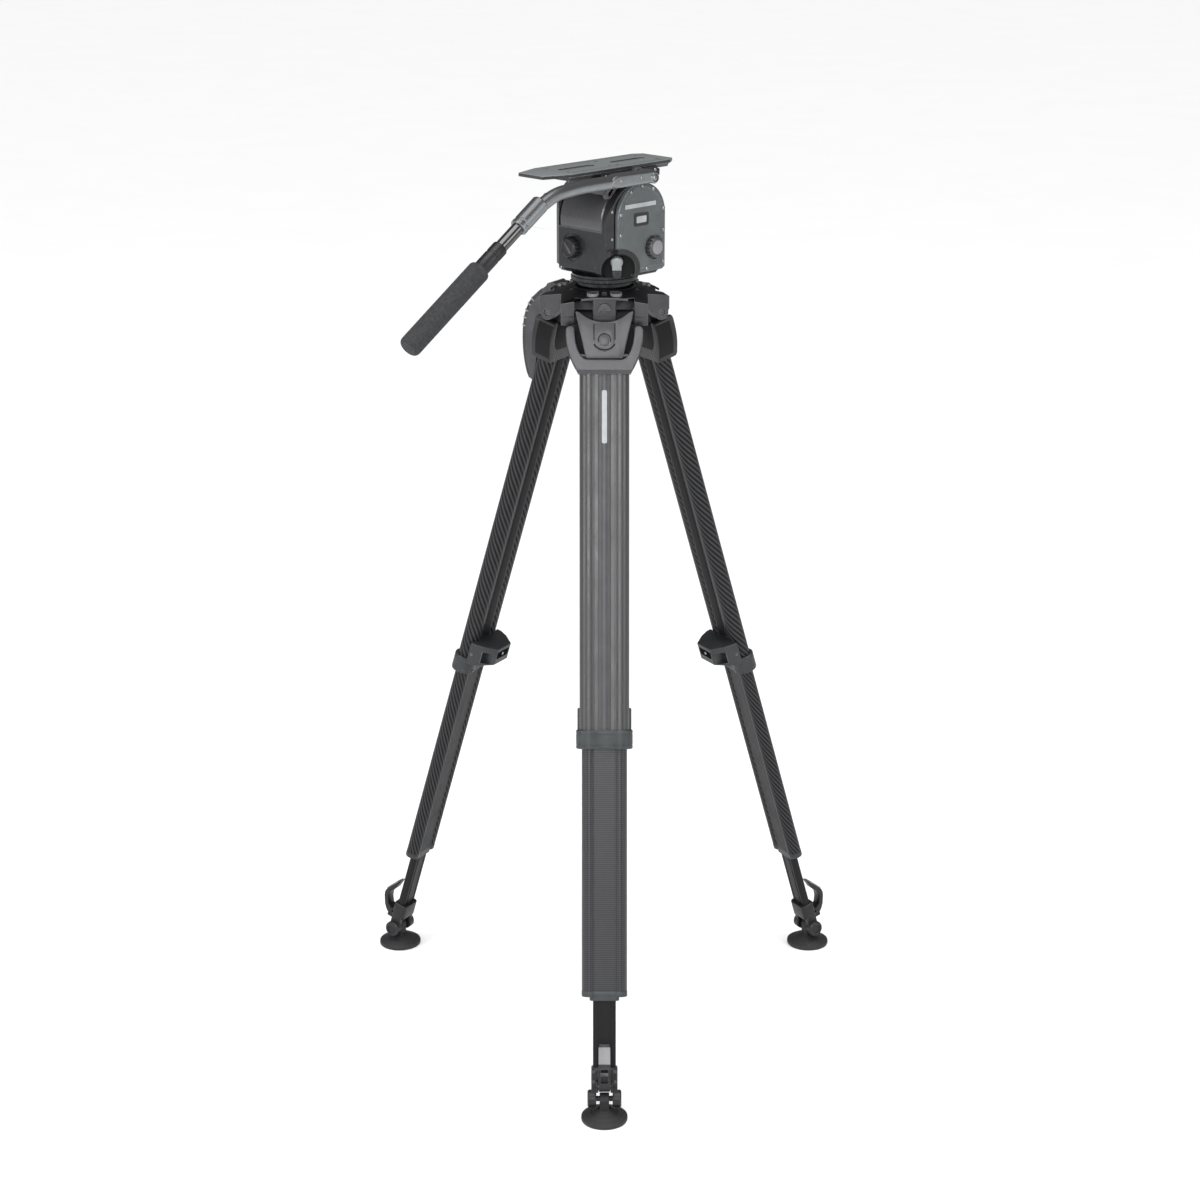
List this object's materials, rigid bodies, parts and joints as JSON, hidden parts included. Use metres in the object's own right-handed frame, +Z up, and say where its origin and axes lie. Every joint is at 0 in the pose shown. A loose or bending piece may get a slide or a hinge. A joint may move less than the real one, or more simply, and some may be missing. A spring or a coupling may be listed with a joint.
{
  "type": "camera tripod with fluid head",
  "caption": "Carbon camera tripod with twin-tube telescopic legs, cast crown, levelling bowl, rubber feet and a fluid head with a telescopic pan handle.",
  "frame": {"origin": "on the floor, at the middle of the box around the three feet and the head", "axes": "+Z up; the front leg points along -Y; the lens direction is 45 degrees between +X and +Y"},
  "size_m": [0.7616, 0.669, 1.352],
  "materials": {
    "cast_grey": "satin die-cast aluminium with a fine powder texture",
    "dark_cast": "satin black die-cast aluminium",
    "head_black": "satin black anodised housing",
    "cover_grey": "satin dark grey cover",
    "carbon": "clear-coated woven carbon fibre",
    "collar_plastic": "dark grey glass-filled plastic",
    "steel": "brushed stainless steel",
    "rubber": "matte black rubber",
    "foam": "dark grey foam grip",
    "spring_steel": "oiled spring steel"
  },
  "bodies": {
    "crown": {"crown": "cast_grey", "front_hinge_pin": "steel", "left_hinge_pin": "steel", "right_hinge_pin": "steel"},
    "front_leg": {"front_casting": "cast_grey", "front_upper_tube": "carbon", "front_collar": "collar_plastic"},
    "front_brake": {"front_brake_lever": "cast_grey"},
    "front_rod": {"front_brake_rod": "steel"},
    "front_latch": {"front_spread_latch": "dark_cast"},
    "front_middle": {"front_middle_tube": "carbon"},
    "front_lower": {"front_lower_tube": "carbon", "front_ankle": "dark_cast"},
    "front_foot": {"front_foot_pad": "rubber"},
    "front_claw": {"front_foot_lever": "dark_cast"},
    "left_leg": {"left_casting": "cast_grey", "left_upper_tube": "carbon", "left_collar": "collar_plastic"},
    "left_brake": {"left_brake_lever": "cast_grey"},
    "left_rod": {"left_brake_rod": "steel"},
    "left_latch": {"left_spread_latch": "dark_cast"},
    "left_middle": {"left_middle_tube": "carbon"},
    "left_lower": {"left_lower_tube": "carbon", "left_ankle": "dark_cast"},
    "left_foot": {"left_foot_pad": "rubber"},
    "left_claw": {"left_foot_lever": "dark_cast"},
    "right_leg": {"right_casting": "cast_grey", "right_upper_tube": "carbon", "right_collar": "collar_plastic"},
    "right_brake": {"right_brake_lever": "cast_grey"},
    "right_rod": {"right_brake_rod": "steel"},
    "right_latch": {"right_spread_latch": "dark_cast"},
    "right_middle": {"right_middle_tube": "carbon"},
    "right_lower": {"right_lower_tube": "carbon", "right_ankle": "dark_cast"},
    "right_foot": {"right_foot_pad": "rubber"},
    "right_claw": {"right_foot_lever": "dark_cast"},
    "handle_hang": {"carry_handle": "rubber"},
    "ball": {"half_ball": "cast_grey"},
    "pan_base": {"pan_base": "head_black", "tie_down_stud": "steel"},
    "tie_knob": {"tie_down_knob": "rubber"},
    "housing": {"housing": "head_black", "right_cover": "cover_grey", "left_cover": "cover_grey", "counterbalance_spring": "spring_steel"},
    "tilt": {"tilt_cradle": "head_black", "tilt_shaft": "steel", "drag_rotor": "spring_steel", "platform": "head_black", "handle_clamp": "cast_grey"},
    "plate": {"camera_plate": "cover_grey"},
    "plate_lock": {"plate_lock_lever": "cast_grey"},
    "pan_bar": {"pan_bar": "cast_grey"},
    "telescope": {"telescopic_tube": "head_black", "grip": "foam"},
    "tilt_drag": {"tilt_drag_knob": "cast_grey"},
    "counterbalance": {"counterbalance_knob": "dark_cast"},
    "pan_brake": {"pan_brake_lever": "cast_grey"},
    "tilt_brake": {"tilt_brake_lever": "cast_grey"}
  },
  "joints": [
    {"name": "front_spread", "type": "hinge", "parent": "crown", "child": "front_leg", "pos_m": [0, 0.038, 1.135], "axis": [-1, 0, 0], "range_deg": [-17, 43]},
    {"name": "left_spread", "type": "hinge", "parent": "crown", "child": "left_leg", "pos_m": [-0.05369, 0.131, 1.135], "axis": [0.5, 0.866, 0], "range_deg": [-17, 43]},
    {"name": "right_spread", "type": "hinge", "parent": "crown", "child": "right_leg", "pos_m": [0.05369, 0.131, 1.135], "axis": [0.5, -0.866, 0], "range_deg": [-17, 43]},
    {"name": "pan", "type": "hinge", "parent": "pan_base", "child": "housing", "pos_m": [0, 0.1, 1.192], "axis": [0, 0, 1], "continuous": true},
    {"name": "tilt", "type": "hinge", "parent": "housing", "child": "tilt", "pos_m": [0.00424, 0.10424, 1.271], "axis": [-0.7071, 0.7071, 0], "range_deg": [-45, 70]},
    {"name": "handle_pivot", "type": "hinge", "parent": "tilt", "child": "pan_bar", "pos_m": [0.06576, 0.05404, 1.339], "axis": [-0.7071, 0.7071, 0], "range_deg": [-25, 60]},
    {"name": "front_middle_slide", "type": "slide", "parent": "front_leg", "child": "front_middle", "axis": [0, -0.2935, -0.956], "range_m": [-0.35, 0.06]},
    {"name": "left_middle_slide", "type": "slide", "parent": "left_leg", "child": "left_middle", "axis": [-0.2542, 0.1467, -0.956], "range_m": [-0.35, 0.06]},
    {"name": "right_middle_slide", "type": "slide", "parent": "right_leg", "child": "right_middle", "axis": [0.2542, 0.1467, -0.956], "range_m": [-0.35, 0.06]},
    {"name": "front_lower_slide", "type": "slide", "parent": "front_middle", "child": "front_lower", "axis": [0, -0.2935, -0.956], "range_m": [-0.075, 0.26]},
    {"name": "left_lower_slide", "type": "slide", "parent": "left_middle", "child": "left_lower", "axis": [-0.2542, 0.1467, -0.956], "range_m": [-0.075, 0.26]},
    {"name": "right_lower_slide", "type": "slide", "parent": "right_middle", "child": "right_lower", "axis": [0.2542, 0.1467, -0.956], "range_m": [-0.075, 0.26]},
    {"name": "level_x", "type": "hinge", "parent": "crown", "child": "ball", "pos_m": [0, 0.1, 1.176], "axis": [1, 0, 0], "range_deg": [-7, 7]},
    {"name": "level_y", "type": "hinge", "parent": "ball", "child": "pan_base", "pos_m": [0, 0.1, 1.176], "axis": [0, 1, 0], "range_deg": [-7, 7]},
    {"name": "plate_slide", "type": "slide", "parent": "tilt", "child": "plate", "axis": [0.7071, 0.7071, 0], "range_m": [-0.05, 0.05]},
    {"name": "handle_telescope", "type": "slide", "parent": "pan_bar", "child": "telescope", "axis": [-0.5869, -0.5869, -0.5577], "range_m": [0, 0.06]},
    {"name": "front_ankle_tilt", "type": "hinge", "parent": "front_lower", "child": "front_foot", "pos_m": [0, -0.3, 0.034], "axis": [1, 0, 0], "range_deg": [-30, 45]},
    {"name": "left_ankle_tilt", "type": "hinge", "parent": "left_lower", "child": "left_foot", "pos_m": [-0.34641, 0.3, 0.034], "axis": [-0.5, -0.866, 0], "range_deg": [-30, 45]},
    {"name": "right_ankle_tilt", "type": "hinge", "parent": "right_lower", "child": "right_foot", "pos_m": [0.34641, 0.3, 0.034], "axis": [-0.5, 0.866, 0], "range_deg": [-30, 45]},
    {"name": "front_brake_turn", "type": "hinge", "parent": "front_leg", "child": "front_brake", "pos_m": [0, 0.00789, 1.08462], "axis": [1, 0, 0], "range_deg": [0, 8.5]},
    {"name": "left_brake_turn", "type": "hinge", "parent": "left_leg", "child": "left_brake", "pos_m": [-0.07977, 0.14606, 1.08462], "axis": [-0.5, -0.866, 0], "range_deg": [0, 8.5]},
    {"name": "right_brake_turn", "type": "hinge", "parent": "right_leg", "child": "right_brake", "pos_m": [0.07977, 0.14606, 1.08462], "axis": [-0.5, 0.866, 0], "range_deg": [0, 8.5]},
    {"name": "front_claw_turn", "type": "hinge", "parent": "front_lower", "child": "front_claw", "pos_m": [0, -0.31076, 0.05688], "axis": [1, 0, 0], "range_deg": [0, 30]},
    {"name": "left_claw_turn", "type": "hinge", "parent": "left_lower", "child": "left_claw", "pos_m": [-0.35573, 0.30538, 0.05688], "axis": [-0.5, -0.866, 0], "range_deg": [0, 30]},
    {"name": "right_claw_turn", "type": "hinge", "parent": "right_lower", "child": "right_claw", "pos_m": [0.35573, 0.30538, 0.05688], "axis": [-0.5, 0.866, 0], "range_deg": [0, 30]},
    {"name": "carry_handle_swing", "type": "hinge", "parent": "crown", "child": "handle_hang", "pos_m": [-0.06971, 0.14025, 1.166], "axis": [0.5, 0.866, 0], "range_deg": [-17, 40]},
    {"name": "front_rod_turn", "type": "hinge", "parent": "front_leg", "child": "front_rod", "pos_m": [0.0223, 0.01863, 1.07191], "axis": [0, -0.2935, -0.956], "range_deg": [-40, 40]},
    {"name": "left_rod_turn", "type": "hinge", "parent": "left_leg", "child": "left_rod", "pos_m": [-0.08162, 0.12137, 1.07191], "axis": [-0.2542, 0.1467, -0.956], "range_deg": [-40, 40]},
    {"name": "right_rod_turn", "type": "hinge", "parent": "right_leg", "child": "right_rod", "pos_m": [0.05932, 0.16, 1.07191], "axis": [0.2542, 0.1467, -0.956], "range_deg": [-40, 40]},
    {"name": "front_latch_press", "type": "slide", "parent": "crown", "child": "front_latch", "axis": [0, 1, 0], "range_m": [0, 0.003], "stiffness_N_per_m": 200},
    {"name": "left_latch_press", "type": "slide", "parent": "crown", "child": "left_latch", "axis": [0.866, -0.5, 0], "range_m": [0, 0.003], "stiffness_N_per_m": 200},
    {"name": "right_latch_press", "type": "slide", "parent": "crown", "child": "right_latch", "axis": [-0.866, -0.5, 0], "range_m": [0, 0.003], "stiffness_N_per_m": 200},
    {"name": "tie_down_turn", "type": "hinge", "parent": "pan_base", "child": "tie_knob", "pos_m": [0, 0.1, 1.1], "axis": [0, 0, 1], "continuous": true},
    {"name": "tilt_drag_turn", "type": "hinge", "parent": "housing", "child": "tilt_drag", "pos_m": [0.07425, 0.07525, 1.233], "axis": [-0.7071, 0.7071, 0], "range_deg": [-135, 135]},
    {"name": "counterbalance_turn", "type": "hinge", "parent": "housing", "child": "counterbalance", "pos_m": [-0.04625, 0.07553, 1.233], "axis": [0.7071, 0.7071, 0], "range_deg": [-135, 135]},
    {"name": "pan_brake_turn", "type": "hinge", "parent": "housing", "child": "pan_brake", "pos_m": [0.018, 0.03, 1.218], "axis": [0, 1, 0], "range_deg": [-30, 30]},
    {"name": "tilt_brake_turn", "type": "hinge", "parent": "housing", "child": "tilt_brake", "pos_m": [-0.06647, 0.1297, 1.298], "axis": [-0.7071, 0.7071, 0], "range_deg": [-35, 30]},
    {"name": "plate_lock_turn", "type": "hinge", "parent": "tilt", "child": "plate_lock", "pos_m": [0.0198, 0.04626, 1.3385], "axis": [-0.7071, 0.7071, 0], "range_deg": [0, 35]}
  ],
  "couplings": [
    {"joint": "front_rod_turn", "follows": "front_brake_turn", "ratio": 2},
    {"joint": "left_rod_turn", "follows": "left_brake_turn", "ratio": 2},
    {"joint": "right_rod_turn", "follows": "right_brake_turn", "ratio": 2},
    {"joint": "carry_handle_swing", "follows": "left_spread", "ratio": 0.9}
  ]
}
